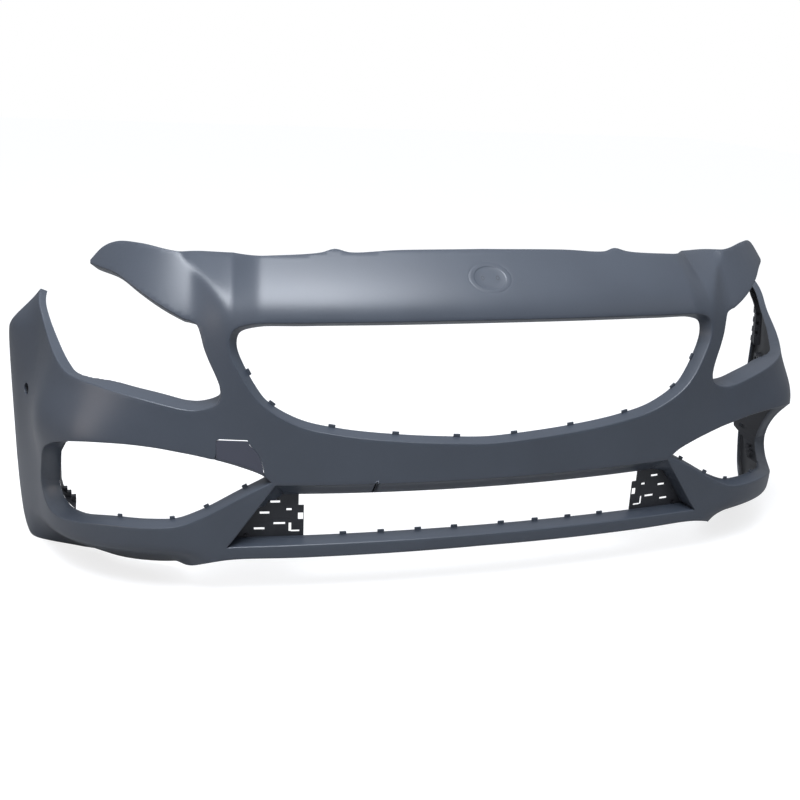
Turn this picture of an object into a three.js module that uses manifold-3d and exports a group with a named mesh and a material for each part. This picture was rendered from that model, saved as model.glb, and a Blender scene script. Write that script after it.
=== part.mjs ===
// Front bumper cover of a compact saloon car, millimetres, +Z up, -Y towards the road ahead.
// Every shape is drawn on the unrolled outer surface of the cover: s runs sideways along
// the plan curve from the centre line, z runs up, and o runs inwards, square to the surface.
import * as THREE from 'three';
import Module from 'manifold-3d';

const wasm = await Module();
wasm.setup();

// ---- driving dimensions ----
const FRONT_RADIUS = 3100; // gentle crown across the nose
const CORNER_RADIUS = 330; // plan radius of the corner
const FLANK_RADIUS = 2034; // flank running back to the wheel arch
const CORNER_START = THREE.MathUtils.degToRad(10.4);
const CORNER_END = THREE.MathUtils.degToRad(72);
const NOSE_HEIGHT = 590; // top edge at the centre line
const FLANK_END = 1108; // arc length to the wheel-arch edge
const NOTCH_TIP = 1040; // arc length to the rear tip of the headlamp notch
const WALL = 3; // moulded wall
const FIT = 0.3; // gap between neighbouring pieces
const GRILLE_DEPTH = 26;
const INTAKE_DEPTH = 30;
const LOWER_DEPTH = 34;
const NOTCH_DEPTH = 24;
const SENSOR_HOLE = 24;
const SENSOR_S = 1024; // parking sensor, along the flank
const SENSOR_Z = 268;
const LUG_S = [-440, -150, 150, 440]; // bonnet lugs
const LUG_WIDTH = 32;
const TOW_LEFT = -507; // tow-eye cover, along the nose
const TOW_RIGHT = -423;
const TOW_AXIS_Z = 257.5;
const TOW_AXIS_DEPTH = 3;

// ---- the outer surface ----
const noseArc = FRONT_RADIUS * CORNER_START;
const cornerArc = noseArc + CORNER_RADIUS * (CORNER_END - CORNER_START);
const ridge = (x, w) => (x + Math.hypot(x, w)) / 2;
const ease = (x, a, b) => THREE.MathUtils.smoothstep(x, a, b);

function planPoint(s) {
  const a = Math.abs(s);
  const t1 = Math.min(a, noseArc) / FRONT_RADIUS;
  const t2 = CORNER_START + THREE.MathUtils.clamp(a - noseArc, 0, cornerArc - noseArc) / CORNER_RADIUS;
  const t3 = CORNER_END + Math.max(a - cornerArc, 0) / FLANK_RADIUS;
  const x = FRONT_RADIUS * Math.sin(t1) + CORNER_RADIUS * (Math.sin(t2) - Math.sin(CORNER_START))
    + FLANK_RADIUS * (Math.sin(t3) - Math.sin(CORNER_END));
  const y = FRONT_RADIUS * (1 - Math.cos(t1)) + CORNER_RADIUS * (Math.cos(CORNER_START) - Math.cos(t2))
    + FLANK_RADIUS * (Math.cos(CORNER_END) - Math.cos(t3));
  const heading = a < noseArc ? t1 : a < cornerArc ? t2 : t3;
  return { x: x * Math.sign(s), y, heading, side: Math.sign(s) || 1 };
}

// How far the surface leans back from the plan curve: the top band rolls over, the shoulders
// lean, a waist line swells out above the side intakes, the corners tuck under below them, and
// the flank flares a little and stands upright towards the wheel arch.
function setback(s, z) {
  const a = Math.abs(s);
  const rear = ease(a, 980, 1110);
  const lean = (1 - rear) * (0.12 * ridge(z - 150, 40) + 0.6 * ridge(z - 470, 30)) + rear * 0.9 * ridge(z - 395, 20);
  const shoulder = ease(a, 420, 560) * lean;
  const fold = NOSE_HEIGHT - 85 + Math.max(0, a - 480) * 0.7;
  const band = 1.25 * ridge(z - fold, 40 - 36 * ease(a, 440, 540));
  const waist = 28 * ease(a, 600, 780) * (1 - ease(a, 860, 1060)) * Math.exp(-(((z - 245) / 75) ** 2));
  const flare = 10 * ease(a, 950, 1100);
  const keel = 40 - 25 * ease(a, 600, 950);
  const tuck = 1.5 * ridge(keel - z, 8) * ease(a, 505, 610) * (1 - ease(a, 860, 1040));
  return shoulder + band + tuck - waist - flare;
}

function skinPoint(s, z) {
  const p = planPoint(s);
  const d = setback(s, z);
  return new THREE.Vector3(p.x - p.side * Math.sin(p.heading) * d, p.y + Math.cos(p.heading) * d, z);
}

function place(s, o, z) {
  const h = 1;
  const alongS = skinPoint(s + h, z).sub(skinPoint(s - h, z));
  const alongZ = skinPoint(s, z + h).sub(skinPoint(s, z - h));
  const inward = alongZ.cross(alongS).normalize();
  return skinPoint(s, z).addScaledVector(inward, o);
}

// Smooth curve through a few [position, value] points.
function curve(points) {
  const line = new THREE.CatmullRomCurve3(points.map(([a, b]) => new THREE.Vector3(a, b, 0)), false, 'centripetal');
  const dense = line.getPoints(points.length * 12);
  return (x) => {
    const i = THREE.MathUtils.clamp(dense.findIndex((p) => p.x >= x), 1, dense.length - 1);
    const [p, q] = x > dense[dense.length - 1].x ? dense.slice(-2) : [dense[i - 1], dense[i]];
    return THREE.MathUtils.lerp(p.y, q.y, THREE.MathUtils.clamp((x - p.x) / (q.x - p.x || 1), 0, 1));
  };
}

// Edge lines, for the right-hand half; both halves are alike.
const topNose = curve([[0, NOSE_HEIGHT], [170, 588], [262, 584], [290, 589], [318, 583], [420, 577], [520, 574],
  [600, 578], [700, 586], [790, 583], [835, 568], [856, 543]]);
const topFlank = curve([[NOTCH_TIP, 462], [1066, 433], [1090, 402], [FLANK_END, 378]]);
const bottomEdge = curve([[0, 32], [350, 29], [490, 27], [530, 18], [575, -8], [620, -26], [706, -36], [790, -40],
  [863, -44], [934, -47], [985, -49], [1035, -48], [1070, -25], [1096, 35], [FLANK_END, 100]]);
const notchTop = curve([[496, 400], [512, 424], [533, 460], [604, 489], [683, 518], [747, 536], [856, 543]]);
const notchBottom = curve([[496, 322], [571, 312], [648, 327], [735, 340], [823, 348], [859, 359], [916, 383],
  [967, 409], [1005, 436], [NOTCH_TIP, 462]]);
const topEdge = (a) => (a < 856 ? topNose(a) : a < NOTCH_TIP ? notchBottom(a) : topFlank(a));

// ---- meshing helpers ----
function solid(points, faces) {
  const position = new Float32Array(points.length * 3);
  points.forEach((p, i) => p.toArray(position, i * 3));
  let volume = 0;
  for (const [a, b, c] of faces) {
    volume += points[a].dot(new THREE.Vector3().crossVectors(points[b], points[c]));
  }
  const index = new Uint32Array(faces.flatMap(([a, b, c]) => (volume < 0 ? [a, c, b] : [a, b, c])));
  return new wasm.Manifold(new wasm.Mesh({ numProp: 3, vertProperties: position, triVerts: index }));
}

const steps = (a, b, n) => Array.from({ length: n + 1 }, (_, i) => a + ((b - a) * i) / n);

// Panel over a run of s, between two heights and two depths.
function slab(run, low, high, front, back, levels = 1) {
  const share = Array.isArray(levels) ? levels : steps(0, 1, levels);
  const rows = share.length - 1;
  const at = (v, s) => (typeof v === 'function' ? v(s) : v);
  const points = [];
  for (const depth of [front, back]) {
    for (const s of run) {
      for (let j = 0; j <= rows; j += 1) {
        const z = THREE.MathUtils.lerp(at(low, s), at(high, s), share[j]);
        points.push(place(s, depth, z));
      }
    }
  }
  const n = run.length;
  const m = rows + 1;
  const id = (k, i, j) => k * n * m + i * m + j;
  const faces = [];
  const quad = (a, b, c, d) => faces.push([a, b, c], [a, c, d]);
  for (let i = 0; i < n - 1; i += 1) {
    const turn = run[i] < 0 ? 1 : 0; // the two halves of the panel are split along mirrored diagonals
    for (let j = 0; j < rows; j += 1) {
      const front = [id(0, i, j), id(0, i + 1, j), id(0, i + 1, j + 1), id(0, i, j + 1)];
      const back = [id(1, i + 1, j), id(1, i, j), id(1, i, j + 1), id(1, i + 1, j + 1)];
      quad(...front.slice(turn), ...front.slice(0, turn));
      quad(...back.slice(1 - turn), ...back.slice(0, 1 - turn));
    }
    quad(id(0, i, 0), id(1, i, 0), id(1, i + 1, 0), id(0, i + 1, 0));
    quad(id(0, i, rows), id(0, i + 1, rows), id(1, i + 1, rows), id(1, i, rows));
  }
  for (let j = 0; j < rows; j += 1) {
    quad(id(0, 0, j), id(0, 0, j + 1), id(1, 0, j + 1), id(1, 0, j));
    quad(id(0, n - 1, j), id(1, n - 1, j), id(1, n - 1, j + 1), id(0, n - 1, j + 1));
  }
  return solid(points, faces);
}

// Section swept along a path on the surface; section points are [inset, depth, straight back].
function sweep(path, section, closed) {
  const n = path.length;
  const m = section(0).length;
  const points = [];
  path.forEach((p, i) => {
    const prev = path[closed ? (i + n - 1) % n : Math.max(i - 1, 0)];
    const next = path[closed ? (i + 1) % n : Math.min(i + 1, n - 1)];
    const before = new THREE.Vector2(p[0] - prev[0], p[1] - prev[1]).normalize();
    const after = new THREE.Vector2(next[0] - p[0], next[1] - p[1]).normalize();
    const along = before.clone().add(after).normalize();
    const mitre = Math.max(along.dot(after.lengthSq() ? after : before), 0.5);
    for (const [inset, depth, rearward = 0] of section(i)) {
      const corner = place(p[0] - (along.y * inset) / mitre, depth, p[1] + (along.x * inset) / mitre);
      points.push(corner.setY(corner.y + rearward));
    }
  });
  const faces = [];
  const spans = closed ? n : n - 1;
  for (let i = 0; i < spans; i += 1) {
    for (let j = 0; j < m; j += 1) {
      const a = i * m + j;
      const b = i * m + ((j + 1) % m);
      const c = ((i + 1) % n) * m + ((j + 1) % m);
      const d = ((i + 1) % n) * m + j;
      faces.push([a, b, c], [a, c, d]);
    }
  }
  if (!closed) {
    for (let j = 1; j < m - 1; j += 1) {
      faces.push([0, j + 1, j], [(n - 1) * m, (n - 1) * m + j, (n - 1) * m + j + 1]);
    }
  }
  return solid(points, faces);
}

// Round bar square to the surface, or along it.
function disc(s, z, radius, front, back, sides = 16, bore = 0) {
  const ring = steps(0, Math.PI * 2, sides).slice(0, sides);
  const rod = (r, f, b) => {
    const points = [];
    for (const depth of [f, b]) {
      ring.forEach((t) => points.push(place(s + r * Math.cos(t), depth, z + r * Math.sin(t))));
    }
    const faces = [];
    for (let i = 0; i < sides; i += 1) {
      const j = (i + 1) % sides;
      faces.push([i, j, sides + j], [i, sides + j, sides + i]);
      if (i > 0 && i < sides - 1) faces.push([0, i + 1, i], [sides, sides + i, sides + i + 1]);
    }
    return solid(points, faces);
  };
  return bore ? rod(radius, front, back).subtract(rod(bore, front - 1, back + 1)) : rod(radius, front, back);
}

function barAlong(sFrom, sTo, z, depth, radius, sides = 12) {
  const points = [];
  for (const s of [sFrom, sTo]) {
    for (const t of steps(0, Math.PI * 2, sides).slice(0, sides)) {
      points.push(place(s, depth + radius * Math.sin(t), z + radius * Math.cos(t)));
    }
  }
  const faces = [];
  for (let i = 0; i < sides; i += 1) {
    const j = (i + 1) % sides;
    faces.push([i, j, sides + j], [i, sides + j, sides + i]);
    if (i > 0 && i < sides - 1) faces.push([0, i + 1, i], [sides, sides + i, sides + i + 1]);
  }
  return solid(points, faces);
}

const box = (s, z, width, height, front, back) => slab(
  steps(s - width / 2, s + width / 2, Math.max(1, Math.ceil(width / 30))), z - height / 2, z + height / 2, front, back,
);

// Upright block by its middle and sizes, square to the car.
function block(x, y, z, width, length, height) {
  const points = [-0.5, 0.5].flatMap((i) => [-0.5, 0.5].flatMap((j) => [-0.5, 0.5].map(
    (k) => new THREE.Vector3(x + i * width, y + j * length, z + k * height),
  )));
  const sides = [[0, 1, 3, 2], [4, 6, 7, 5], [0, 4, 5, 1], [2, 3, 7, 6], [0, 2, 6, 4], [1, 5, 7, 3]];
  return solid(points, sides.flatMap(([a, b, c, d]) => [[a, b, c], [a, c, d]]));
}

function mirrored(body) {
  const mesh = body.getMesh();
  const points = [];
  for (let i = 0; i < mesh.vertProperties.length; i += 3) {
    const [x, y, z] = mesh.vertProperties.slice(i, i + 3);
    points.push(new THREE.Vector3(-x, y, z));
  }
  const faces = [];
  for (let i = 0; i < mesh.triVerts.length; i += 3) faces.push([...mesh.triVerts.slice(i, i + 3)]);
  return solid(points, faces);
}

// ---- openings: closed front outlines, anticlockwise in (s, z) ----
function outline(points, count, tension = 0.5) {
  const path = new THREE.CatmullRomCurve3(points.map(([s, z]) => new THREE.Vector3(s, z, 0)), true, 'catmullrom', tension);
  return path.getSpacedPoints(count).slice(0, count).map((p) => [p.x, p.y]);
}

const half = [[0, 241], [49, 243], [167, 252], [283, 267], [362, 287], [425, 326], [466, 383], [485, 430],
  [478, 459], [448, 473], [350, 477], [180, 479], [0, 480]];
const grilleLine = outline([...half, ...half.slice(1, -1).reverse().map(([s, z]) => [-s, z])], 46);
const intakeTop = curve([[404, 180], [425, 196], [465, 212], [500, 222], [560, 235], [620, 244], [690, 249], [760, 244],
  [830, 224], [885, 188], [925, 138], [936, 110]]);
const intakeBottom = curve([[404, 178], [465, 148], [536, 109], [580, 92], [640, 86], [720, 80], [800, 66], [860, 58],
  [905, 66], [930, 88], [936, 108]]);
const intakeRun = [404, 430, 465, ...steps(500, 880, 9), 907, 926, 936];
const intakeLine = [...intakeRun.map((s) => [s, intakeBottom(s)]), ...intakeRun.slice(1, -1).reverse().map((s) => [s, intakeTop(s)])];
const lowerCorner = [402, 176];
const lowerFoot = [492, 50];
const lowerLine = [
  ...steps(-lowerFoot[0], lowerFoot[0], 12).map((s) => [s, lowerFoot[1] + 4 * (1 - (s / lowerFoot[0]) ** 2)]),
  ...steps(0, 1, 2).slice(1, -1).map((t) => [THREE.MathUtils.lerp(lowerFoot[0], lowerCorner[0], t),
    THREE.MathUtils.lerp(lowerFoot[1], lowerCorner[1], t)]),
  ...steps(lowerCorner[0], -lowerCorner[0], 10).map((s) => [s, lowerCorner[1] - 3 * (1 - (s / lowerCorner[0]) ** 2)]),
  ...steps(0, 1, 2).slice(1, -1).map((t) => [-THREE.MathUtils.lerp(lowerCorner[0], lowerFoot[0], t),
    THREE.MathUtils.lerp(lowerCorner[1], lowerFoot[1], t)]),
];
const notchLine = [
  ...steps(1030, 560, 11).map((s) => [s, notchBottom(s)]),
  ...[[524, 313], [505, 323], [497, 340], [499, 358], [507, 379], [517, 400], [527, 425], [534, 448], [545, 467]],
  ...steps(575, 850, 6).map((s) => [s, notchTop(s)]),
].reverse();

// Cutter for a closed outline: a fan about its middle, ruled through the wall.
function cutter(line, stride = 1, reach = 40) {
  const low = new Map();
  const sorted = [...new Set(line.map(([s]) => Math.round(s * 100) / 100))].sort((a, b) => a - b)
    .filter((s, i, all) => i % stride === 0 || i === all.length - 1);
  const cross = (s) => {
    const hits = [];
    line.forEach(([s0, z0], i) => {
      const [s1, z1] = line[(i + 1) % line.length];
      if ((s0 <= s && s < s1) || (s1 <= s && s < s0)) hits.push(z0 + ((z1 - z0) * (s - s0)) / (s1 - s0));
    });
    return hits.sort((a, b) => a - b);
  };
  const run = sorted.map((s, i) => (i === 0 ? s + 0.4 : i === sorted.length - 1 ? s - 0.4 : s))
    .filter((s, i, all) => i === 0 || s - all[i - 1] > 1);
  run.forEach((s) => low.set(s, cross(s)));
  return slab(run, (s) => low.get(s)[0], (s) => low.get(s)[low.get(s).length - 1], -reach, reach, 6);
}

// Turned-in edge round an opening: [inset, depth] section, wall thinner towards the back.
const turned = (inset, depth) => [[-3, 0.6], [0.8, 0], [inset, depth], [inset - 2.8, depth], [-2.4, 2.6]];
const grilleTurn = () => turned(8, GRILLE_DEPTH);
const intakeTurn = (i) => turned(8 + 16 * ease(intakeLine[i][0], 780, 936), INTAKE_DEPTH);
const lowerTurn = (i) => turned(7 + 26 * ease(lowerLine[i][1], 120, 172), LOWER_DEPTH);
const notchTurn = (i) => {
  const shelf = notchLine[i][1] < 360 ? 1 - ease(notchLine[i][0], 700, 840) : 0;
  return turned(4 + 8 * shelf, NOTCH_DEPTH + 18 * shelf - 8 * ease(notchLine[i][0], 840, 1000));
};

// Little snap tab on the rear rim of a turned-in edge, beside the outline point nearest (s, z).
function tab(line, turn, s, z, width = 13) {
  const near = line.map(([a, b], i) => [Math.hypot(a - s, b - z), i]).sort((p, q) => p[0] - q[0])[0][1];
  const [p, q] = [line[(near + line.length - 1) % line.length], line[(near + 1) % line.length]];
  const along = new THREE.Vector2(q[0] - p[0], q[1] - p[1]).normalize();
  const [inset, depth] = turn(near)[2];
  const path = [-0.5, 0.5].map((t) => [line[near][0] + along.x * width * t, line[near][1] + along.y * width * t]);
  return sweep(path, () => [[inset - 2.4, depth - 4], [inset + 5, depth - 3], [inset + 5, depth - 0.4],
    [inset - 2.4, depth - 0.4]], false);
}

// ---- the moulding ----
const shellRun = [...steps(0, 400, 5), ...steps(450, 540, 4), ...steps(565, 960, 10), ...steps(990, FLANK_END, 4)];
const wholeRun = [...shellRun.slice(1).reverse().map((s) => -s), ...shellRun];
const abs = (f) => (s) => f(Math.abs(s));
const rise = [0, 0.17, 0.32, 0.42, 0.52, 0.68, 0.8, 0.87, 0.93, 1];
const panelTop = abs((a) => (a < 856 ? topNose(a) : topFlank(Math.max(a, NOTCH_TIP))));
const panel = slab(wholeRun, abs(bottomEdge), panelTop, 0, WALL, rise);
const seatingFace = slab(wholeRun, abs(bottomEdge), panelTop, -10, WALL + FIT, rise); // trims what sits behind
const notchRun = [497, 500, 505, 512, 522, 534, ...steps(550, 850, 7), 862, ...steps(880, NOTCH_TIP, 6),
  ...steps(1056, FLANK_END, 3), FLANK_END + 20];
const notchCut = slab(notchRun, (s) => (s < 524 ? THREE.MathUtils.lerp(340, 313, ease(s, 497, 524)) : s < NOTCH_TIP
  ? notchBottom(s) : topFlank(s) + 6), (s) => (s < 534 ? THREE.MathUtils.lerp(350, 452, ease(s, 495, 534))
  : s < 862 ? notchTop(Math.min(s, 856)) : 700), -40, 40, 6);

const towLow = (s) => intakeTop(Math.abs(s));
const towHigh = (s) => (s < -451.8 ? 259.5 : 251 - 44 * (Math.max(0, s + 447) / 24) ** 1.5);
const window = slab([TOW_LEFT - 0.6, ...steps(-500, -460, 5), -451.2, -450.7, ...steps(-445, -430, 4), TOW_RIGHT + 1],
  (s) => towLow(s) + 1, (s) => (s < -451 ? 262.2 : towHigh(Math.max(s - 1.2, -451)) + 1.5), -20, 8, 3);

const fixings = [[372, 152], [455, 62]]; // plate rivets
const pairOf = (body) => [body, mirrored(body)];
const towLug = (s) => box(s, 257.5, 5.6, 8, 1, 7.5);
const towBore = barAlong(-514, -444, TOW_AXIS_Z, TOW_AXIS_DEPTH, 1.5);
const topLug = (s) => slab(steps(s - LUG_WIDTH / 2, s + LUG_WIDTH / 2, 2), abs((a) => topNose(a) - 3.6),
  abs((a) => topNose(a) - 0.4), 2, 34);

const additions = [
  sweep(grilleLine, grilleTurn, true),
  ...pairOf(sweep(intakeLine, intakeTurn, true)),
  sweep(lowerLine, lowerTurn, true),
  ...pairOf(sweep(notchLine, notchTurn, false)),
  slab(steps(-560, 560, 14), abs((a) => topNose(a) - 3), abs(topNose), 1.5, 14),
  slab(steps(-500, 500, 12), abs(bottomEdge), abs((a) => bottomEdge(a) + 3), 1.5, 40),
  ...pairOf(slab(steps(NOTCH_TIP + 8, FLANK_END, 5), (a) => topFlank(a) - 3, topFlank, 1.5, 14)),
  ...pairOf(slab([FLANK_END - 3, FLANK_END], 104, 374, 1.5, 16, 6)),
  ...LUG_S.map(topLug),
  ...[[450, 386], [411, 323], [296, 276], [177, 262], [58, 251]].flatMap(([s, z]) => [
    tab(grilleLine, grilleTurn, s, z), tab(grilleLine, grilleTurn, -s, z)]),
  ...[[590, 95], [520, 118], [455, 152], [700, 82], [880, 58]].flatMap(([s, z]) => (
    pairOf(tab(intakeLine, intakeTurn, s, z, 10)))),
  ...[-280, -198, -118, -40, 40, 118, 198, 280].map((s) => tab(lowerLine, lowerTurn, s, 54)),
  ...fixings.flatMap(([s, z]) => pairOf(box(s, z + 4, 16, 22, LOWER_DEPTH - 3, LOWER_DEPTH))),
];
const cuts = [
  window,
  towBore,
  ...pairOf(disc(SENSOR_S, SENSOR_Z, SENSOR_HOLE / 2, -5, 10, 16)),
  ...fixings.flatMap(([s, z]) => pairOf(disc(s, z, 3.3, LOWER_DEPTH - 8, LOWER_DEPTH + 8, 12))),
  disc(0, 548, 34, -20, 0.9, 20),
];
let skin = panel.subtract(cutter(grilleLine, 2)).subtract(cutter(lowerLine));
for (const body of [...pairOf(cutter(intakeLine)), ...pairOf(notchCut)]) skin = skin.subtract(body);
for (const body of additions) skin = skin.add(body);
for (const body of cuts) skin = skin.subtract(body);
skin = skin.add(towLug(-510.2).subtract(towBore)).add(towLug(-447.8).subtract(towBore));

// ---- tow-eye cover with its hinge bar and stub pins ----
const towRun = [TOW_LEFT, ...steps(-500, -460, 5), -452, -451.6, ...steps(-445, -430, 4), TOW_RIGHT];
const towCover = slab(towRun, (s) => towLow(s) + 1.6, towHigh, 0, 2.6, 3)
  .add(box(-479, TOW_AXIS_Z - 0.2, 54, 3.4, 1.6, 4.6))
  .add(barAlong(-509.8, -448.2, TOW_AXIS_Z, TOW_AXIS_DEPTH, 1.2));

// ---- slotted side plate behind the lower opening, one each side ----
const slant = (s) => lowerFoot[1] + ((lowerFoot[0] - s) * (lowerCorner[1] - lowerFoot[1])) / (lowerFoot[0] - lowerCorner[0]);
const plateFront = LOWER_DEPTH + FIT;
const plateBack = plateFront + 2.6;
let plate = slab(steps(346, 500, 12), 44, (s) => Math.min(161, slant(s) + 16), plateFront, plateBack, 4);
const slots = [[350, 132, 12, 24], [352, 98, 10, 14], [374, 112, 10, 5], [392, 84, 22, 5], [372, 76, 5, 18], [362, 68, 16, 4],
  [400, 128, 18, 5], [420, 106, 18, 5], [430, 74, 20, 5]];
for (const [s, z, w, h] of slots) plate = plate.subtract(box(s, z, w, h, plateFront - 4, plateBack + 4));
for (const [s, z] of fixings) plate = plate.subtract(disc(s, z, 3.3, plateFront - 4, plateBack + 4, 12));
const rivets = fixings.map(([s, z]) => disc(s, z, 6, plateBack + FIT, plateBack + FIT + 2.4, 12)
  .add(disc(s, z, 3, LOWER_DEPTH - 5, plateBack + FIT + 1, 12)));

// ---- notched bracket inside the upper end of the flank ----
const railLow = 300;
const railFront = 1054;
const railRear = FLANK_END - 5;
let rail = slab(steps(railFront, railRear, 4), railLow, (a) => topFlank(a) - 4.5, WALL, WALL + FIT + 14, 5)
  .subtract(seatingFace);
for (const z of [318, 342, 366]) {
  rail = rail.subtract(box(railRear, z, 22, 11, WALL - 1, WALL + 18));
  rail = rail.subtract(box(railFront, z + 12, 18, 10, WALL + 6, WALL + 20));
}

// ---- sensor seat behind the round hole ----
const earReach = 24;
const seat = disc(SENSOR_S, SENSOR_Z, 21, WALL, WALL + 12, 20, 12.6)
  .add(box(SENSOR_S + earReach, SENSOR_Z, 12, 10, WALL, WALL + 6))
  .add(box(SENSOR_S - earReach, SENSOR_Z, 12, 10, WALL, WALL + 6))
  .subtract(seatingFace);

// ---- air guide: wall behind the outer end of the side intake, with a comb along its foot ----
const guidePath = intakeLine.filter(([s]) => s > 820);
const guideInset = (i) => 8 + 16 * ease(guidePath[i][0], 780, 936);
const guideLength = (i) => 40 + 58 * ease(guidePath[i][1], 75, 120);
const guideFront = INTAKE_DEPTH + FIT;
const guideWall = (i) => [[guideInset(i) - 0.4, guideFront, 0], [guideInset(i) - 0.4, guideFront, guideLength(i)],
  [guideInset(i) - 2.6, guideFront, guideLength(i)], [guideInset(i) - 2.6, guideFront, 0]];
let guide = sweep(guidePath, guideWall, false);
for (const [s, z] of [[846, 79], [866, 82], [886, 84]]) {
  const foot = place(s, guideFront, z);
  guide = guide.add(block(foot.x, foot.y + 30, foot.z, 8, 12, 12));
}
for (const z of [120, 150, 180]) {
  const wall = place(912, guideFront, z);
  guide = guide.subtract(block(wall.x, wall.y + 52, z, 60, 26, 9));
}

// ---- hand over: origin at the middle of the footprint, lowest point at zero ----
const primed = new THREE.MeshStandardMaterial({ color: 0x3b4550, roughness: 0.5 });
const black = new THREE.MeshStandardMaterial({ color: 0x15171a, roughness: 0.7 });
const fixing = new THREE.MeshStandardMaterial({ color: 0x1c1f23, roughness: 0.6 });

const parts = [['bumper_skin', skin, primed], ['tow_eye_cover', towCover, primed]];
const bothSides = (name, body, material) => {
  parts.push([`${name}_right`, body, material], [`${name}_left`, mirrored(body), material]);
};
bothSides('side_plate', plate, black);
rivets.forEach((body, i) => bothSides(`plate_rivet_${i + 1}`, body, fixing));
bothSides('flank_rail', rail, black);
bothSides('sensor_seat', seat, black);
bothSides('air_guide', guide, black);

const bounds = new THREE.Box3();
for (const [, body] of parts) {
  const { min, max } = body.boundingBox();
  bounds.expandByPoint(new THREE.Vector3(...min)).expandByPoint(new THREE.Vector3(...max));
}
const middle = bounds.getCenter(new THREE.Vector3());

const group = new THREE.Group();
for (const [name, body, material] of parts) {
  const mesh = body.getMesh();
  const geometry = new THREE.BufferGeometry();
  const position = Float32Array.from(mesh.vertProperties, (v, i) => v - [middle.x, middle.y, bounds.min.z][i % 3]);
  geometry.setAttribute('position', new THREE.BufferAttribute(position, 3));
  geometry.setIndex(new THREE.BufferAttribute(mesh.triVerts, 1));
  geometry.computeVertexNormals();
  const part = new THREE.Mesh(geometry, material.clone());
  part.name = name;
  group.add(part);
}

export default group;
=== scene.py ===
import bpy
import numpy as np
from mathutils import Matrix


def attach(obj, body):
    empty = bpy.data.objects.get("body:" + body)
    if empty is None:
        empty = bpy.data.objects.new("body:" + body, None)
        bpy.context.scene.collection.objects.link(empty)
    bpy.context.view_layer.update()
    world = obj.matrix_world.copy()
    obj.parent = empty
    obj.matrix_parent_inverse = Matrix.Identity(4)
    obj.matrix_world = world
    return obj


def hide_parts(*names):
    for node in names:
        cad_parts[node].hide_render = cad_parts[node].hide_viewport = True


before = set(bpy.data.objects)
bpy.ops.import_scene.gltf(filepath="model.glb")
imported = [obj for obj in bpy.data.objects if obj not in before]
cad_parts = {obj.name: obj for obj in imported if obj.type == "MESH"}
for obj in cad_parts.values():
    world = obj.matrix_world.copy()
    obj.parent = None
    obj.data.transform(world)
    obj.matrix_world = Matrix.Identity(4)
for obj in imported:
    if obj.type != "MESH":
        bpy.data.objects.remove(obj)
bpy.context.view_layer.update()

# %% [markdown]
# ## The outer surface as one function
# A bumper cover is a single smooth skin, so it is written as a surface over two numbers: s, the
# arc length sideways from the centre line, and z, the height. The plan curve is three tangent
# arcs. Leaning, folding and swelling are added square to that curve. Everything is worked out
# in millimetres, because the dimensions of car parts are known that way, and scaled at the end.

# %% Plan curve: nose, corner and flank arcs
NOSE_R, CORNER_R, FLANK_R = 3100.0, 330.0, 2034.0
CORNER_FROM, CORNER_TO = np.radians(10.4), np.radians(72.0)
NOSE_ARC = NOSE_R * CORNER_FROM
CORNER_ARC = NOSE_ARC + CORNER_R * (CORNER_TO - CORNER_FROM)
FLANK_END = 1108.0
REAR_SHIFT, FOOT_SHIFT = 230.308, 50.289  # from the nose's frame to the row frame
WALL = 3.0


def plan_curve(s):
    """x, y and heading: the angle grows as s over the radius, arc after arc."""
    a, side = np.abs(s), np.where(s < 0, -1.0, 1.0)
    t1 = np.minimum(a, NOSE_ARC) / NOSE_R
    t2 = CORNER_FROM + np.clip(a - NOSE_ARC, 0, CORNER_ARC - NOSE_ARC) / CORNER_R
    t3 = CORNER_TO + np.maximum(a - CORNER_ARC, 0) / FLANK_R
    x = (NOSE_R * np.sin(t1) + CORNER_R * (np.sin(t2) - np.sin(CORNER_FROM))
         + FLANK_R * (np.sin(t3) - np.sin(CORNER_TO)))
    y = (NOSE_R * (1 - np.cos(t1)) + CORNER_R * (np.cos(CORNER_FROM) - np.cos(t2))
         + FLANK_R * (np.cos(CORNER_TO) - np.cos(t3)))
    heading = np.where(a < NOSE_ARC, t1, np.where(a < CORNER_ARC, t2, t3))
    return x * side, y, heading, side


# %% How far the skin leans back from the plan curve
def ramp(x, w):
    """A rounded ramp: half of x plus the root of x squared plus w squared."""
    return (x + np.hypot(x, w)) / 2


def ease(x, a, b):
    """Smoothstep: 3t squared less 2t cubed, from 0 at a to 1 at b."""
    t = np.clip((x - a) / (b - a), 0, 1)
    return t * t * (3 - 2 * t)


def setback(s, z):
    """Shoulder lean, the top band's roll and the tuck under the corners, less the waist and the flare."""
    a = np.abs(s)
    rear = ease(a, 980, 1110)
    lean = (1 - rear) * (0.12 * ramp(z - 150, 40) + 0.6 * ramp(z - 470, 30)) + rear * 0.9 * ramp(z - 395, 20)
    shoulder = ease(a, 420, 560) * lean
    fold = 505 + np.maximum(0, a - 480) * 0.7
    band = 1.25 * ramp(z - fold, 40 - 36 * ease(a, 440, 540))
    keel = 40 - 25 * ease(a, 600, 950)
    tuck = 1.5 * ramp(keel - z, 8) * ease(a, 505, 610) * (1 - ease(a, 860, 1040))
    waist = 28 * ease(a, 600, 780) * (1 - ease(a, 860, 1060)) * np.exp(-(((z - 245) / 75) ** 2))
    return shoulder + band + tuck - waist - 10 * ease(a, 950, 1100)


def skin(s, z):
    """The plan point moved back by the setback along its own normal."""
    x, y, heading, side = plan_curve(s)
    d = setback(s, z)
    return np.stack([x - side * np.sin(heading) * d, y + np.cos(heading) * d, z + 0 * x], -1)


def inward(s, z, h=1.0):
    """The unit normal pointing into the car: the cross product of the two tangents."""
    across = skin(s + h, z) - skin(s - h, z)
    up = skin(s, z + h) - skin(s, z - h)
    n = np.cross(up, across)
    return n / np.linalg.norm(n, axis=-1, keepdims=True)


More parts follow.
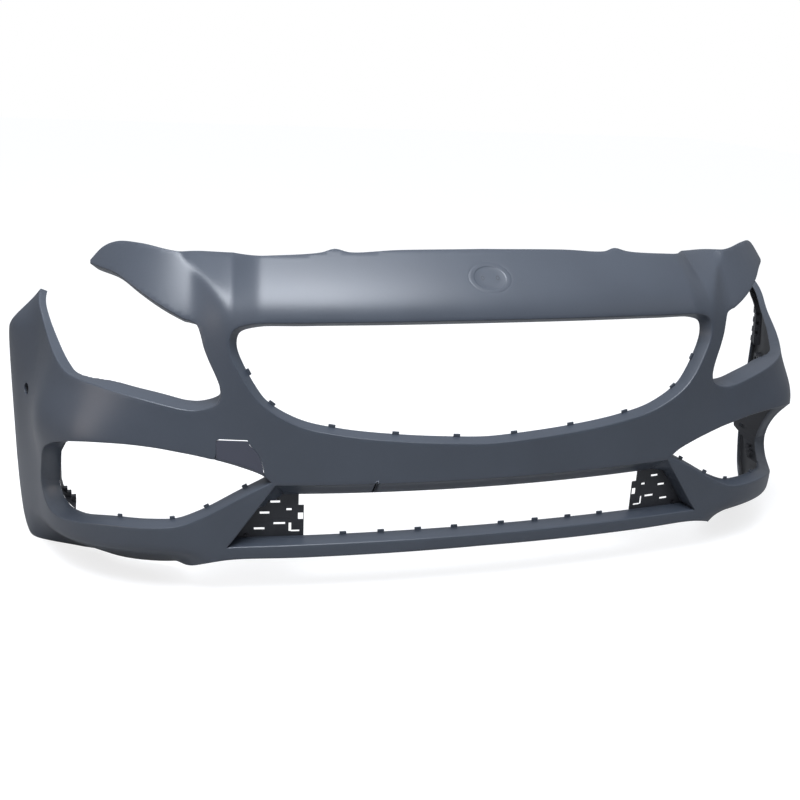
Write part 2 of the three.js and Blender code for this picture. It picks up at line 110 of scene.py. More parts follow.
def place(s, o, z):
    """Row-frame metres of the point o millimetres below the skin at (s, z)."""
    s, o, z = np.broadcast_arrays(np.asarray(s, float), np.asarray(o, float), np.asarray(z, float))
    p = skin(s, z) + o[..., None] * inward(s, z)
    return (p + [0, -REAR_SHIFT, FOOT_SHIFT]) / 1000


print("half width %.0f mm" % (1000 * place(FLANK_END, 0, 100)[0]))

# %% [markdown]
# ## Edge lines
# Each opening is a closed line drawn on the unrolled skin through a few points. A centripetal
# Catmull-Rom curve is used because it passes through its points and never loops.


# %% Curve through points
def catmull(points, closed=False, per=10):
    """Each span is a cubic whose end slopes weigh the neighbours by the root of their distance."""
    p = np.asarray(points, float)
    if closed:
        a, b, c, d = np.roll(p, 1, 0), p, np.roll(p, -1, 0), np.roll(p, -2, 0)
    else:
        e = np.vstack([2 * p[0] - p[1], p, 2 * p[-1] - p[-2]])
        a, b, c, d = e[:-3], e[1:-2], e[2:-1], e[3:]
    da, db, dc = (np.sqrt(np.linalg.norm(v - u, axis=1))[:, None] for u, v in ((a, b), (b, c), (c, d)))
    t1 = ((b - a) / da - (c - a) / (da + db) + (c - b) / db) * db
    t2 = ((c - b) / db - (d - b) / (db + dc) + (d - c) / dc) * db
    t = np.linspace(0, 1, per, endpoint=False)[None, :, None]
    b, c, t1, t2 = b[:, None], c[:, None], t1[:, None], t2[:, None]
    q = ((2 * t**3 - 3 * t**2 + 1) * b + (t**3 - 2 * t**2 + t) * t1
         + (3 * t**2 - 2 * t**3) * c + (t**3 - t**2) * t2).reshape(-1, 2)
    return q if closed else np.vstack([q, p[-1]])


# %% The lines themselves, right-hand half
top_nose = catmull([(0, 590), (170, 588), (262, 584), (290, 589), (318, 583), (420, 577), (520, 574),
                    (600, 578), (700, 586), (790, 583), (835, 568), (856, 543)])
top_flank = catmull([(1040, 462), (1066, 433), (1090, 402), (FLANK_END, 378)])
bottom = catmull([(0, 32), (350, 29), (490, 27), (530, 18), (575, -8), (620, -26), (706, -36), (790, -40),
                  (863, -44), (934, -47), (985, -49), (1035, -48), (1070, -25), (1096, 35), (FLANK_END, 100)])
notch_top = catmull([(533, 460), (604, 489), (683, 518), (747, 536), (856, 543)])
pillar = catmull([(571, 312), (545, 310), (520, 316), (503, 326), (497, 342), (499, 358), (507, 379),
                  (517, 400), (527, 425), (533, 448), (540, 464), (556, 471)])
notch_foot = catmull([(571, 312), (648, 327), (735, 340), (823, 348), (859, 359), (916, 383), (967, 409),
                      (1005, 436), (1040, 462)])
tongue = notch_top[notch_top[:, 0] > 560]
right = np.vstack([bottom, top_flank[::-1], notch_foot[::-1][1:], pillar[1:], tongue, top_nose[::-1][1:]])
cover_line = np.vstack([right, (right * [-1, 1])[::-1][1:-1]])

half_grille = [(0, 241), (49, 243), (167, 252), (283, 267), (362, 287), (425, 326), (466, 383), (485, 430),
               (478, 459), (448, 473), (350, 477), (180, 479), (0, 480)]
grille_line = catmull(half_grille + [(-s, z) for s, z in half_grille[-2:0:-1]], closed=True)
intake_top = catmull([(404, 180), (425, 196), (465, 212), (500, 222), (560, 235), (620, 244), (690, 249),
                      (760, 244), (830, 224), (885, 188), (925, 138), (936, 109)])
intake_foot = catmull([(404, 180), (465, 148), (536, 109), (580, 92), (640, 86), (720, 80), (800, 66),
                       (860, 58), (905, 66), (930, 88), (936, 109)])
intake_line = np.vstack([intake_foot, intake_top[::-1][1:-1]])


def between(a, b, n):
    """n evenly spaced points from a up to but not including b."""
    return np.linspace(a, b, n, endpoint=False)


lower_line = np.vstack([
    [(s, 50 + 4 * (1 - (s / 492) ** 2)) for s in between(-492, 492, 40)], between((492, 50), (402, 176), 8),
    [(s, 176 - 3 * (1 - (s / 402) ** 2)) for s in between(402, -402, 40)], between((-402, 176), (-492, 50), 8)])
angle = between(0, 2 * np.pi, 28)
sensor_line = np.stack([1024 + 12 * np.cos(angle), 268 + 12 * np.sin(angle)], 1)
print("cover line", len(cover_line), "points; grille line", len(grille_line))

# %% [markdown]
# ## Bay for the tow-eye flap
# The flap lies flush in the skin, right above the left intake, and only a sill a millimetre
# high parts the two. The hole is therefore drawn as one line, intake and bay together, and the
# sill is laid across as a strip of its own.

# %% Flap outline, and the bay round it
roof_s, roof_z = intake_top.T


def intake_roof(s):
    """Height of the intake's upper line, read off the curve."""
    return np.interp(np.abs(s), roof_s, roof_z)


def flap_line(gap, top_gap):
    """Straight upper edge, leaning right-hand side, and a foot that follows the intake's roof."""
    s_foot = np.linspace(-507 - gap, -423 + gap, 22)
    foot = np.stack([s_foot, intake_roof(s_foot) + 1.6 - gap], 1)
    lean = catmull([(-423 + gap, 207), (-427.5 + gap, 224), (-436 + gap, 241), (-447 + gap, 251 + gap)], per=5)
    crown = [(-452 + gap, 259.5 + top_gap), (-470, 259.5 + top_gap), (-488, 259.5 + top_gap),
             (-503, 259.5 + top_gap), (-507 - gap, 256 + top_gap), (-507 - gap, 241)]
    return np.vstack([foot, lean, crown])


left_intake = intake_line * [-1, 1]
bay = flap_line(0.7, 2.7)[22:]
below = (left_intake[:, 0] > -507.9) & (left_intake[:, 0] < -422.1) & (left_intake[:, 1] > 185)
k = np.flatnonzero(below)
bay = bay[::-1] if abs(bay[0, 0] - left_intake[k[0] - 1, 0]) > abs(bay[-1, 0] - left_intake[k[0] - 1, 0]) else bay
bayed_intake = np.vstack([left_intake[:k[0]], bay, left_intake[k[-1] + 1:]])
in_bay = np.r_[np.zeros(k[0]), np.ones(len(bay)), np.zeros(len(left_intake) - k[-1] - 1)] > 0
print("bay", np.ptp(bay, axis=0).round(1), "mm,", len(bay), "points")

# %% [markdown]
# ## Meshing a skin with holes
# A boolean on a curved sheet leaves long thin faces that shade badly. Here a regular grid is
# laid over the unrolled skin, points close to an edge line are slid onto it, and cells beyond
# it are dropped, so every edge is clean and the faces stay even. The turned-in edge is then
# drawn from those same points, which closes the seam exactly.


# %% Nearest point on all the edge lines at once
class EdgeLines:
    """Closed lines with, at each point, how far the turned edge leans in and how deep it runs."""

    def __init__(self):
        self.a, self.b, self.na, self.nb, self.lean, self.deep = [], [], [], [], [], []

    def add(self, line, lean, deep, hole=True):
        """The normal points away from the skin: left of travel for holes, right for the cover."""
        keep = np.linalg.norm(line - np.roll(line, 1, 0), axis=1) > 0.05
        line = line[keep]
        lean, deep = (np.broadcast_to(v, len(keep)).astype(float)[keep] for v in (lean, deep))
        area = np.sum(line[:, 0] * np.roll(line[:, 1], -1) - np.roll(line[:, 0], -1) * line[:, 1])
        along = np.roll(line, -1, 0) - np.roll(line, 1, 0)
        n = np.stack([-along[:, 1], along[:, 0]], 1) / np.linalg.norm(along, axis=1)[:, None]
        n = n * np.sign(area) * (1 if hole else -1)
        for store, v in ((self.a, line), (self.b, np.roll(line, -1, 0)), (self.na, n),
                         (self.nb, np.roll(n, -1, 0)), (self.lean, lean), (self.deep, deep)):
            store.append(v)

    def ready(self):
        """Joins the lines into flat arrays."""
        self.a, self.b, self.na, self.nb, self.lean, self.deep = (
            np.concatenate(v) for v in (self.a, self.b, self.na, self.nb, self.lean, self.deep))

    def nearest(self, p):
        """Foot of the perpendicular on the closest stretch, with what is stored there."""
        d = self.b - self.a
        out = []
        for q in np.array_split(p, max(1, len(p) // 3000)):
            r = q[:, None] - self.a
            t = np.clip((r * d).sum(2) / (d * d).sum(1), 0, 1)
            gap = ((r - t[..., None] * d) ** 2).sum(2)
            k = gap.argmin(1)
            i = np.arange(len(q))
            tk = t[i, k][:, None]
            n = self.na[k] * (1 - tk) + self.nb[k] * tk
            out.append(np.hstack([self.a[k] + tk * d[k], n / np.linalg.norm(n, axis=1)[:, None],
                                  self.lean[k][:, None], self.deep[k][:, None]]))
        return np.vstack(out)

    def inside_skin(self, p):
        """A point is on the skin when a ray to the right crosses the lines an odd number of times."""
        odd = []
        for q in np.array_split(p, max(1, len(p) // 3000)):
            x, y = q[:, :1], q[:, 1:]
            span = (self.a[:, 1] <= y) != (self.b[:, 1] <= y)
            t = (y - self.a[:, 1]) / np.where(span, self.b[:, 1] - self.a[:, 1], 1)
            odd.append((span & (self.a[:, 0] + t * (self.b[:, 0] - self.a[:, 0]) > x)).sum(1) % 2 == 1)
        return np.concatenate(odd)


# %% All the skin's edge lines
lines = EdgeLines()
a, z = np.abs(cover_line[:, 0]), cover_line[:, 1]
in_notch = (z > np.interp(a, *notch_foot.T) - 9) & (z < 550) & (a > 494) & (a < 1038) & (z < np.interp(a, *tongue.T) + 2)
shelf = in_notch * (z < 360) * (1 - ease(a, 700, 840))
lean = np.where(in_notch, 3 + 9 * shelf, 0.8)
deep = np.where(in_notch, 22 + 20 * shelf - 8 * ease(a, 840, 1000), 13.5)
deep = np.where((z < 60) & (a < 500), 38, deep)
lines.add(cover_line, lean, deep, hole=False)
lines.add(grille_line, 8, 26)
lines.add(intake_line, 8 + 16 * ease(intake_line[:, 0], 780, 936), 30)
lines.add(bayed_intake, np.where(in_bay, 0.3, 8 + 16 * ease(-bayed_intake[:, 0], 780, 936)), np.where(in_bay, 4.5, 30))
for side in (1, -1):
    lines.add(sensor_line * [side, 1], 0.3, WALL + 0.5)
lines.add(lower_line, 7 + 26 * ease(lower_line[:, 1], 120, 172), 34)
lines.ready()
print("edge stretches:", len(lines.a))

# %% The clipped grid
STEP = 5.5
grid_s = np.linspace(-1112, 1112, int(2 * 1112 / STEP) + 1)
grid_z = np.arange(-60, 600, STEP)
S, Z = np.meshgrid(grid_s, grid_z)
flat = np.stack([S.ravel(), Z.ravel()], 1)
near = lines.nearest(flat)
inside = lines.inside_skin(flat)
gap = np.linalg.norm(near[:, :2] - flat, axis=1)
snapped = gap < 0.52 * STEP
state = np.where(snapped, 0, np.where(inside, 1, -1))
flat = np.where(snapped[:, None], near[:, :2], flat)
print("grid points", len(flat), "on an edge", int(snapped.sum()))

# %% Triangles of the cells that lie on the skin
rows, cols = S.shape
k = np.arange(rows * cols).reshape(rows, cols)
quad = np.stack([k[:-1, :-1], k[:-1, 1:], k[1:, 1:], k[1:, :-1]], -1).reshape(-1, 4)
mark = state[quad]
beyond = (mark < 0).sum(1)
turn = np.where(beyond == 1, (mark < 0).argmax(1), np.where(mark[:, 1] + mark[:, 3] == 0, 0, 1))
quad = np.take_along_axis(quad, (np.arange(4) + turn[:, None]) % 4, 1)
full = beyond == 0
tris = np.vstack([quad[full][:, [0, 1, 3]], quad[full][:, [1, 2, 3]], quad[beyond == 1][:, [1, 2, 3]]])
tris = tris[lines.inside_skin(flat[tris].mean(1))]
print("triangles kept", len(tris))


# %% Joining points that were slid to the same place
def weld(points, faces, shift=0.0, grain=0.05):
    """Rounds to a shifted grain, keeps one point of each, and drops faces that lost an edge."""
    _, first, back = np.unique(np.round(points / grain + shift), axis=0, return_index=True, return_inverse=True)
    faces = back.ravel()[faces]
    faces = faces[(faces[:, 0] != faces[:, 1]) & (faces[:, 1] != faces[:, 2]) & (faces[:, 2] != faces[:, 0])]
    used, faces = np.unique(faces, return_inverse=True)
    return first[used], faces.reshape(-1, 3)


for shift in (0.0, 0.5):  # the second pass catches pairs that straddle a rounding step
    first, tris = weld(flat, tris, shift)
    flat = flat[first]
edges = np.vstack([tris[:, [0, 1]], tris[:, [1, 2]], tris[:, [2, 0]]])
code = np.sort(edges, 1) @ [len(flat), 1]
_, where, count = np.unique(code, return_index=True, return_counts=True)
rim_edges = edges[where[count == 1]]
rim = np.unique(rim_edges)
print("rim points", len(rim), "rim edges", len(rim_edges))

# %% Turned-in edges: a chain of rows from the face, round the lip and back to the inner face
around = lines.nearest(flat[rim])
n, lean, deep = around[:, 2:4], around[:, 4], around[:, 5]
ROUND = np.minimum(2.6, deep * 0.4)
turns = np.radians([30, 60, 90])
chain = [(ROUND * np.sin(t) * np.minimum(1, 0.25 + lean / 6), ROUND * (1 - np.cos(t))) for t in turns]
chain += [(chain[2][0] + (lean - chain[2][0]) * f, ROUND + (deep - ROUND) * f) for f in (0.33, 0.66, 0.97)]
chain += [(lean - 0.5, deep), (lean - 2.3, deep), (lean - 2.7, deep - 0.5)]
chain += [(lean * 0.4 - 2.6, WALL + (deep - WALL) * 0.45)]
rim_of = np.full(len(flat), -1)
rim_of[rim] = np.arange(len(rim))
inner_flat = flat.copy()
inner_flat[rim] -= 2.4 * n * (deep > 6)[:, None]
hollow = 1.6 * (1 - ease(np.hypot(flat[:, 0], (flat[:, 1] - 546) / 0.55), 34, 42))  # room for the badge seat
points = [place(flat[:, 0], hollow, flat[:, 1])]
points += [place(flat[rim, 0] + i * n[:, 0], o, flat[rim, 1] + i * n[:, 1]) for i, o in chain]
points += [place(inner_flat[:, 0], WALL, inner_flat[:, 1])]
start = np.cumsum([0] + [len(p) for p in points])
ring = [rim_edges] + [start[1 + j] + rim_of[rim_edges] for j in range(len(chain))] + [start[-2] + rim_edges]
walls = [np.stack([p[:, 1], p[:, 0], q[:, 0], q[:, 1]], 1) for p, q in zip(ring[:-1], ring[1:])]
skin_points = np.vstack(points)
skin_faces = [tris, (start[-2] + tris)[:, ::-1]] + walls
print("skin points", len(skin_points))


# %% [markdown]
# ## From arrays to objects
# One helper writes points and faces into a mesh and shades it smooth except where two faces
# meet at more than a set angle, so moulded radii stay soft and cut rims stay crisp.


# %% Mesh from arrays
def make_object(name, points, faces, crisp=35):
    """Faces may be one array or several arrays of triangles or quads."""
    mesh = bpy.data.meshes.new(name)
    faces = faces if isinstance(faces, list) else [faces]
    mesh.from_pydata(np.asarray(points).tolist(), [], [f for part in faces for f in part.tolist()])
    mesh.validate()
    obj = bpy.data.objects.new(name, mesh)
    bpy.context.scene.collection.objects.link(obj)
    mesh.shade_smooth()
    mesh.set_sharp_from_angle(angle=np.radians(crisp))
    mesh.update()
    return obj


def merge(parts):
    """Stacks (points, faces) pairs into one, shifting each part's indices."""
    points, faces, shift = [], [], 0
    for p, f in parts:
        points.append(np.asarray(p))
        faces += [q + shift for q in (f if isinstance(f, list) else [f])]
        shift += len(p)
    return np.vstack(points), faces


# %% A little block bent onto the skin, with its edges eased
def bent_block(s, z, width, high, front, back, tilt=0.0, ease_by=0.6):
    """A box in (s, o, z), its outline an octagon so that no edge is knife-sharp."""
    w, h, e = width / 2, high / 2, ease_by
    outline = np.array([(-w + e, -h), (w - e, -h), (w, -h + e), (w, h - e), (w - e, h), (-w + e, h),
                        (-w, h - e), (-w, -h + e)])
    c, d = np.cos(tilt), np.sin(tilt)
    outline = outline @ np.array([[c, d], [-d, c]]) + [s, z]
    small = (outline - [s, z]) * 0.9 + [s, z]
    rings = [(small, front), (outline, front + e), (outline, back - e), (small, back)]
    points = np.vstack([place(r[:, 0], o, r[:, 1]) for r, o in rings])
    i = np.arange(8)
    j = (i + 1) % 8
    sides = np.vstack([np.stack([8 * k + i, 8 * k + j, 8 * k + 8 + j, 8 * k + 8 + i], 1) for k in range(3)])
    caps = [np.array([i[::-1]]), np.array([24 + i])]
    return points, [sides] + caps


# %% Snap tabs along the openings and lugs under the bonnet edge
def tab_on(line, s, z, lean, deep, width=13.0):
    """A tab on the turned edge's rear rim, beside the point of the line nearest (s, z)."""
    k = np.linalg.norm(line - [s, z], axis=1).argmin()
    along = line[(k + 1) % len(line)] - line[k - 1]
    area = np.sum(line[:, 0] * np.roll(line[:, 1], -1) - np.roll(line[:, 0], -1) * line[:, 1])
    n = np.array([-along[1], along[0]]) / np.linalg.norm(along) * np.sign(area)
    centre = line[k] + n * (lean + 1.4)
    return bent_block(centre[0], centre[1], width, 7.4, deep - 4, deep - 0.4, np.arctan2(along[1], along[0]))


tabs = [tab_on(grille_line, side * s, z, 8, 26) for side in (1, -1)
        for s, z in ((450, 386), (411, 323), (296, 276), (177, 262), (58, 251))]
tabs += [tab_on(intake_line * [side, 1], side * s, z, 8, 30, 10) for side in (1, -1)
         for s, z in ((590, 95), (520, 118), (455, 152), (700, 82), (850, 58))]
tabs += [tab_on(lower_line, s, 54, 7, 34) for s in (-280, -198, -118, -40, 40, 118, 198, 280)]
tabs += [bent_block(s, np.interp(abs(s), *top_nose.T) - 2, 32, 3.2, 2, 34) for s in (-440, -150, 150, 440)]
tabs += [bent_block(s, 257.5, 5.6, 8, 1.2, 7.5) for s in (-510.2, -447.8)]
sill_s = np.linspace(-509.5, -420.5, 24)  # past both ends of the bay, into the skin
section = [(0.9, 0.0), (-0.2, 0.15), (-1.1, 0.7), (-1.7, 1.8), (-7, 27), (-8, 30), (-5.2, 30), (-3, 10), (0.9, 2.6)]
sill_points = np.vstack([place(sill_s, o, intake_roof(sill_s) + up) for up, o in section])
i, rows_of = np.arange(23), len(section)
sill_sides = np.vstack([np.stack([24 * k + i, 24 * k + i + 1, 24 * ((k + 1) % rows_of) + i + 1,
                                  24 * ((k + 1) % rows_of) + i], 1) for k in range(rows_of)])
sill_ends = [np.array([24 * np.arange(rows_of)]), np.array([24 * np.arange(rows_of)[::-1] + 23])]
tabs.append((sill_points, [sill_sides] + sill_ends))
cover = make_object("cover_skin", *merge([(skin_points, skin_faces)] + tabs))
print("cover skin polygons", len(cover.data.polygons))

# %% [markdown]
# ## Badge seat
# Such covers carry a shallow oval seat with two pin holes above the grille. It stays bare.

# %% Oval seat, set 0.9 mm into the top band
seat_ring = between(0, 2 * np.pi, 64)
seat_rows = [(44, 0.5), (42, 0.0), (38, -0.03), (33, 0.0), (32.2, 0.12), (31.5, 0.8), (30.8, 0.95), (18, 0.95), (1, 0.95)]
seat_points = np.vstack([place(r * np.cos(seat_ring), o, 546 + 0.55 * r * np.sin(seat_ring)) for r, o in seat_rows])
i = np.arange(64)
seat_faces = np.vstack([np.stack([64 * k + i, 64 * k + (i + 1) % 64, 64 * k + 64 + (i + 1) % 64, 64 * k + 64 + i], 1)
                        for k in range(len(seat_rows) - 1)])
badge_seat = make_object("badge_seat", seat_points, [seat_faces, np.array([64 * (len(seat_rows) - 1) + i])], crisp=50)

# %% Two blind pin holes in the seat
hole_ring = between(0, 2 * np.pi, 20)
hole_parts = []
for s_hole in (-15, 15):
    rows = [(3.4, 0.93), (3.1, 0.86), (2.5, 0.9), (2.3, 1.4), (0.3, 1.45)]
    pts = np.vstack([place(s_hole + r * np.cos(hole_ring), o, 546 + r * np.sin(hole_ring)) for r, o in rows])
    i = np.arange(20)
    f = np.vstack([np.stack([20 * k + i, 20 * k + (i + 1) % 20, 20 * k + 20 + (i + 1) % 20, 20 * k + 20 + i], 1)
                   for k in range(4)])
    hole_parts.append((pts, [f, np.array([80 + i])]))
badge_pins = make_object("badge_pin_holes", *merge(hole_parts), crisp=50)
print("badge seat polygons", len(badge_seat.data.polygons) + len(badge_pins.data.polygons))

# %% [markdown]
# ## Tow-eye flap
# The flap is a patch of the same skin with its own turned edge and a bar with two stub pins.


# %% Flap panel as nested outlines
def nested(line, rows):
    """Rings of one outline, shrunk in the plane by a distance and pushed to a depth."""
    along = np.roll(line, -1, 0) - np.roll(line, 1, 0)
    n = np.stack([-along[:, 1], along[:, 0]], 1) / np.linalg.norm(along, axis=1)[:, None]
    middle = line.mean(0)
    pts = []
    for inset, depth in rows:
        ring = line + n * inset if inset < 3 else middle + (line - middle) * (1 - inset / 40)
        pts.append(place(ring[:, 0], depth, ring[:, 1]))
    m = len(line)
    i = np.arange(m)
    side_faces = np.vstack([np.stack([m * k + i, m * k + (i + 1) % m, m * k + m + (i + 1) % m, m * k + m + i], 1)
                            for k in range(len(rows) - 1)])
    return np.vstack(pts), side_faces, m


flap_rows = [(39.6, 0), (30, 0), (20, 0), (10, 0), (4, 0), (0.9, 0), (0.25, 0.2), (0, 0.8), (0, 1.8), (0.25, 2.4),
             (0.9, 2.6), (10, 2.6), (20, 2.6), (30, 2.6), (39.6, 2.6)]
flap_points, flap_sides, m = nested(flap_line(0, 0), flap_rows)
ends = [np.array([np.arange(m)[::-1]]), np.array([m * (len(flap_rows) - 1) + np.arange(m)])]


def pin(s_from, s_to, z, depth, radius, sides=20):
    """A round bar along the skin: a circle repeated at each end, with closed ends."""
    t = between(0, 2 * np.pi, sides)
    ends_s = [s_from, s_from + 0.3, s_to - 0.3, s_to]
    radii = [radius - 0.3, radius, radius, radius - 0.3]
    line = place(np.array([s_from, s_to]), depth, z)
    x = np.interp(ends_s, [s_from, s_to], [0, 1])[:, None]
    centre = line[0] * (1 - x) + line[1] * x
    axis = (line[1] - line[0]) / np.linalg.norm(line[1] - line[0])
    u = np.cross(axis, [0, 0, 1])
    v = np.cross(u, axis)
    pts = np.vstack([c + r / 1000 * (np.cos(t)[:, None] * u + np.sin(t)[:, None] * v) for c, r in zip(centre, radii)])
    i = np.arange(sides)
    faces = np.vstack([np.stack([sides * k + i, sides * k + (i + 1) % sides, sides * (k + 1) + (i + 1) % sides,
                                 sides * (k + 1) + i], 1) for k in range(3)])
    return pts, [faces, np.array([i[::-1]]), np.array([3 * sides + i])]


flap = make_object("tow_flap_panel", *merge([
    (flap_points, [flap_sides] + ends), bent_block(-479, 257.3, 54, 3.4, 1.8, 4.6), pin(-509.8, -448.2, 257.5, 3, 1.2)]), crisp=40)
print("flap polygons", len(flap.data.polygons))

# %% [markdown]
# ## Finishes
# The cover is injection-moulded polypropylene with talc, sprayed with a grey primer on its
# outer side only. Primer is satin and a little mottled. The bare plastic inside is nearly
# black, with the fine grain of the mould. One attribute says where the primer stops.


# %% Colour and node helpers
def colour(hex_code):
    """sRGB hex to linear: c over 12.92 when small, otherwise ((c + 0.055) / 1.055) to the 2.4."""
    c = np.array([int(hex_code[i:i + 2], 16) for i in (1, 3, 5)]) / 255
    return tuple(np.where(c <= 0.04045, c / 12.92, ((c + 0.055) / 1.055) ** 2.4)) + (1.0,)


def add(tree, kind, inputs=None, **settings):
    """A new node: settings are its properties, and each input takes a value or another node's socket."""
    node = tree.nodes.new(kind)
    for name, value in settings.items():
        setattr(node, name, value)
    for key, value in (inputs or {}).items():
        if isinstance(value, bpy.types.NodeSocket):
            tree.links.new(value, node.inputs[key])
        else:
            node.inputs[key].default_value = value
    return node


def new_material(name):
    """An empty node material and its tree, with an output node."""
    material = bpy.data.materials.new(name)
    material.use_nodes = True
    material.node_tree.nodes.clear()
    return material, material.node_tree, material.node_tree.nodes.new("ShaderNodeOutputMaterial")


def per_mm(size):
    """Noise scale whose blotches are about this many millimetres across."""
    return 1000 / size


# %% Primer over moulded polypropylene
def primed_plastic(name, dark, light):
    """Base colour from two blotch sizes; primer's slight orange peel, here 7 mm so that it shows, as bump."""
    material, tree, out = new_material(name)
    where = add(tree, "ShaderNodeTexCoord").outputs["Object"]
    cloud = add(tree, "ShaderNodeTexNoise", {"Vector": where, "Scale": per_mm(140), "Detail": 3.0})
    speck = add(tree, "ShaderNodeTexNoise", {"Vector": where, "Scale": per_mm(5), "Detail": 4.0})
    peel = add(tree, "ShaderNodeTexNoise", {"Vector": where, "Scale": per_mm(7), "Detail": 2.0})
    grain = add(tree, "ShaderNodeTexNoise", {"Vector": where, "Scale": per_mm(2.4), "Detail": 3.0})
    both = add(tree, "ShaderNodeMath", {0: cloud.outputs["Fac"], 1: 0.75, 2: 0.0}, operation="MULTIPLY_ADD")
    tree.links.new(add(tree, "ShaderNodeMath", {0: speck.outputs["Fac"], 1: 0.25}, operation="MULTIPLY").outputs[0],
                   both.inputs[2])
    primer = add(tree, "ShaderNodeMix", {"Factor": both.outputs[0], "A": colour(dark), "B": colour(light)},
                 data_type="RGBA")
    for k, code in ((6, dark), (7, light)):
        primer.inputs[k].default_value = colour(code)
    bare = add(tree, "ShaderNodeMix", {"Factor": grain.outputs["Fac"]}, data_type="RGBA")
    bare.inputs[6].default_value, bare.inputs[7].default_value = colour("#17181a"), colour("#2e3033")
    primed = add(tree, "ShaderNodeAttribute", attribute_name="primed").outputs["Fac"]
    base = add(tree, "ShaderNodeMix", {"Factor": primed, 6: bare.outputs[2], 7: primer.outputs[2]}, data_type="RGBA")
    satin = add(tree, "ShaderNodeMapRange", {"Value": cloud.outputs["Fac"], "To Min": 0.36, "To Max": 0.43})
    rough = add(tree, "ShaderNodeMix", {"Factor": primed, "A": 0.6, "B": satin.outputs[0]}, data_type="FLOAT")
    relief = add(tree, "ShaderNodeMix", {"Factor": primed, "A": grain.outputs["Fac"], "B": peel.outputs["Fac"]},
                 data_type="FLOAT")
    bump = add(tree, "ShaderNodeBump", {"Height": relief.outputs[0], "Strength": 0.05, "Distance": 0.001})
    shader = add(tree, "ShaderNodeBsdfPrincipled", {
        "Base Color": base.outputs[2], "Roughness": rough.outputs[0], "Normal": bump.outputs[0], "IOR": 1.5})
    tree.links.new(shader.outputs[0], out.inputs[0])
    return material


def paint_depth(obj, bare_points):
    """Stores the attribute primed: 1 where the spray reached, 0 on the points of the inner side."""
    values = np.ones(len(obj.data.vertices), np.float32)
    values[bare_points] = 0
    obj.data.attributes.new("primed", "FLOAT", "POINT").data.foreach_set("value", values)


primer_skin = primed_plastic("primed_polypropylene", "#2f343c", "#3a4049")
primer_flap = primed_plastic("primed_polypropylene_flap", "#31333d", "#3a3c47")
paint_depth(cover, slice(start[-2] - len(rim), start[-1]))
paint_depth(badge_seat, slice(0, 0))
paint_depth(flap, slice(m * 9, m * 15))
cover.data.materials.append(primer_skin)
badge_seat.data.materials.append(primer_skin)
flap.data.materials.append(primer_flap)
print("bare points:", start[-1] - start[-2])

# %% [markdown]
# ## Black fittings
# Brackets, seats, rails and rivets are unpainted polypropylene and nylon. Moulds for hidden
# parts are spark-eroded, which leaves a matt grain; here the grain is drawn 3 mm wide so that
# it shows.


# %% Moulded black plastic
def moulded_black(name, dark, light, rough_from, rough_to, grain_mm):
    """Two noises, one for flow marks in the colour and one for the eroded grain in the relief."""
    material, tree, out = new_material(name)
    where = add(tree, "ShaderNodeTexCoord").outputs["Object"]
    flow = add(tree, "ShaderNodeTexNoise", {"Vector": where, "Scale": per_mm(35), "Detail": 3.0})
    grain = add(tree, "ShaderNodeTexNoise", {"Vector": where, "Scale": per_mm(grain_mm), "Detail": 4.0})
    base = add(tree, "ShaderNodeMix", {"Factor": flow.outputs["Fac"]}, data_type="RGBA")
    base.inputs[6].default_value, base.inputs[7].default_value = colour(dark), colour(light)
    rough = add(tree, "ShaderNodeMapRange", {"Value": grain.outputs["Fac"], "To Min": rough_from, "To Max": rough_to})
    bump = add(tree, "ShaderNodeBump", {"Height": grain.outputs["Fac"], "Strength": 0.2, "Distance": 0.001})
    shader = add(tree, "ShaderNodeBsdfPrincipled", {
        "Base Color": base.outputs[2], "Roughness": rough.outputs[0], "Normal": bump.outputs[0], "IOR": 1.49})
    tree.links.new(shader.outputs[0], out.inputs[0])
    return material


black_bracket = moulded_black("moulded_black_polypropylene", "#15161a", "#25272c", 0.48, 0.62, 3)
black_rivet = moulded_black("moulded_black_nylon", "#101114", "#1c1d21", 0.32, 0.42, 2)
badge_pins.data.materials.append(black_bracket)
for name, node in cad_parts.items():
    node.data.materials.clear()
    node.data.materials.append(black_rivet if "rivet" in name else black_bracket)
print("nodes given a finish:", len(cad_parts))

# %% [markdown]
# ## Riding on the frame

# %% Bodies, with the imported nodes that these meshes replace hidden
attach(cover, "cover")
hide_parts("bumper_skin")
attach(badge_seat, "cover")
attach(badge_pins, "cover")
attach(flap, "tow_flap")
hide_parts("tow_eye_cover")

# %% [markdown]
# ## Studio
# A pale floor, one big soft lamp overhead to the left, a weaker one on the right, and a sky
# that is bright above and dim below, because satin primer shows its shape by what it reflects.

# %% Floor
floor_mesh = bpy.data.meshes.new("floor")
floor_mesh.from_pydata([(-9, -6, -0.001), (9, -6, -0.001), (9, 14, -0.001), (-9, 14, -0.001)], [], [(0, 1, 2, 3)])
floor = bpy.data.objects.new("floor", floor_mesh)
bpy.context.scene.collection.objects.link(floor)
paper, tree, out = new_material("white_paper_floor")
where = add(tree, "ShaderNodeTexCoord").outputs["Object"]
fibre = add(tree, "ShaderNodeTexNoise", {"Vector": where, "Scale": per_mm(60), "Detail": 3.0})
tone = add(tree, "ShaderNodeMapRange", {"Value": fibre.outputs["Fac"], "To Min": 0.34, "To Max": 0.36})
matt = add(tree, "ShaderNodeBsdfDiffuse", {"Color": tone.outputs[0]})
seen = add(tree, "ShaderNodeLightPath").outputs["Is Camera Ray"]
lift = add(tree, "ShaderNodeMath", {0: seen, 1: 0.74}, operation="MULTIPLY")
glow = add(tree, "ShaderNodeEmission", {"Strength": lift.outputs[0]})
both = add(tree, "ShaderNodeAddShader", {0: matt.outputs[0], 1: glow.outputs[0]})
tree.links.new(both.outputs[0], out.inputs[0])
floor_mesh.materials.append(paper)
print("floor laid")

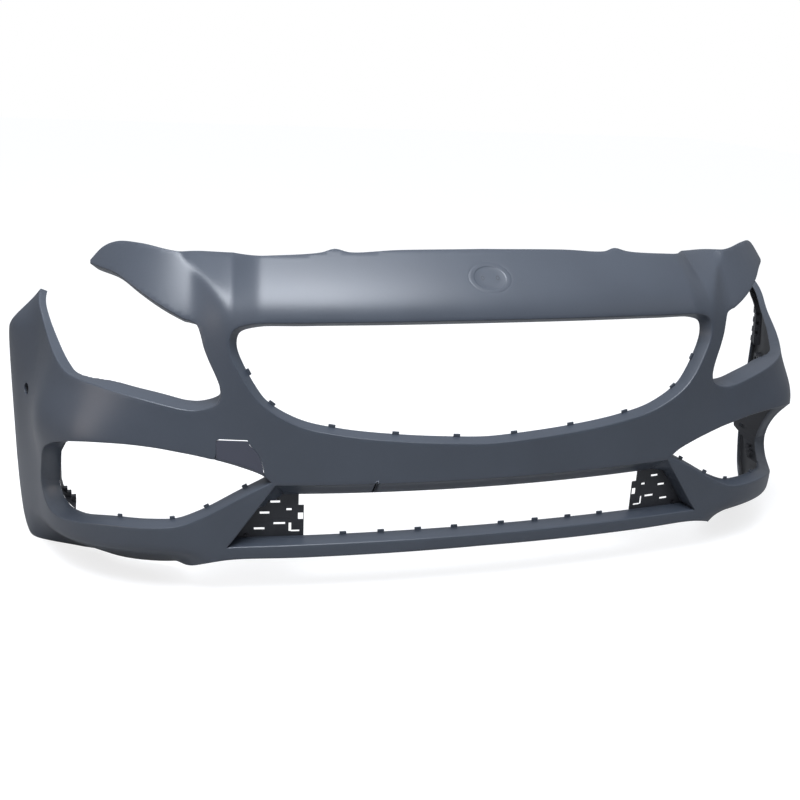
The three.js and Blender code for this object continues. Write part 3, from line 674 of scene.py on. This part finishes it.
# %% Sky and lamps
scene = bpy.context.scene
scene.world = bpy.data.worlds.new("studio")
scene.world.use_nodes = True
tree = scene.world.node_tree
tree.nodes.clear()
up = add(tree, "ShaderNodeSeparateXYZ", {0: add(tree, "ShaderNodeTexCoord").outputs["Generated"]}).outputs["Z"]
level = add(tree, "ShaderNodeMapRange", {"Value": up, "From Min": -0.1, "From Max": 0.95, "To Min": 0.2, "To Max": 1.0})
rays = add(tree, "ShaderNodeLightPath")
white = add(tree, "ShaderNodeMath", {0: level.outputs[0], 1: rays.outputs["Is Camera Ray"]}, operation="MAXIMUM")
sky = add(tree, "ShaderNodeBackground", {"Color": colour("#f3f7ff"), "Strength": white.outputs[0]})
plain = add(tree, "ShaderNodeBackground", {"Color": (1, 1, 1, 1), "Strength": 1.0})
pick = add(tree, "ShaderNodeMixShader", {0: rays.outputs["Is Camera Ray"], 1: sky.outputs[0], 2: plain.outputs[0]})
tree.links.new(pick.outputs[0], add(tree, "ShaderNodeOutputWorld").inputs[0])


def soft_lamp(name, at, aim, size, watts, tint="#ffffff"):
    """A square area lamp whose minus Z axis points from its place to its aim."""
    lamp = bpy.data.lights.new(name, "AREA")
    lamp.shape, lamp.size, lamp.energy, lamp.color = "SQUARE", size, watts, colour(tint)[:3]
    obj = bpy.data.objects.new(name, lamp)
    z = np.subtract(at, aim) / np.linalg.norm(np.subtract(at, aim))
    x = np.cross((0, 0, 1), z)
    x = x / np.linalg.norm(x)
    matrix = np.eye(4)
    matrix[:3, :3], matrix[:3, 3] = np.stack([x, np.cross(z, x), z], 1), at
    obj.matrix_world = Matrix(matrix.tolist())
    scene.collection.objects.link(obj)
    return obj


soft_lamp("overhead_left", (-0.5, -0.95, 2.5), (-0.3, -0.1, 0.4), 1.4, 104, "#f2f7ff")
soft_lamp("side_left", (-3.0, -0.9, 0.9), (-0.8, 0.1, 0.3), 1.4, 20, "#f1e4dc")
soft_lamp("fill_right", (2.6, -2.2, 1.8), (0.2, 0, 0.3), 1.8, 6)

# %% Camera: slightly above and to the left, as a person holding it would stand
RIGHT = (0.961599, -0.270715, 0.045175)
UP = (0.042836, 0.310615, 0.949570)
AHEAD = (0.271095, 0.911171, -0.310283)
camera_data = bpy.data.cameras.new("camera")
camera_data.sensor_width, camera_data.lens = 36.0, 36.0 * 1028.06 / 800
camera = bpy.data.objects.new("camera", camera_data)
matrix = np.eye(4)
matrix[:3, :3] = np.stack([RIGHT, UP, np.negative(AHEAD)], 1)
matrix[:3, 3] = (-0.68146, -1.91527, 0.96167)
camera.matrix_world = Matrix(matrix.tolist())
scene.collection.objects.link(camera)
scene.camera = camera
scene.view_settings.view_transform = "Standard"
print("lens %.1f mm" % camera_data.lens)
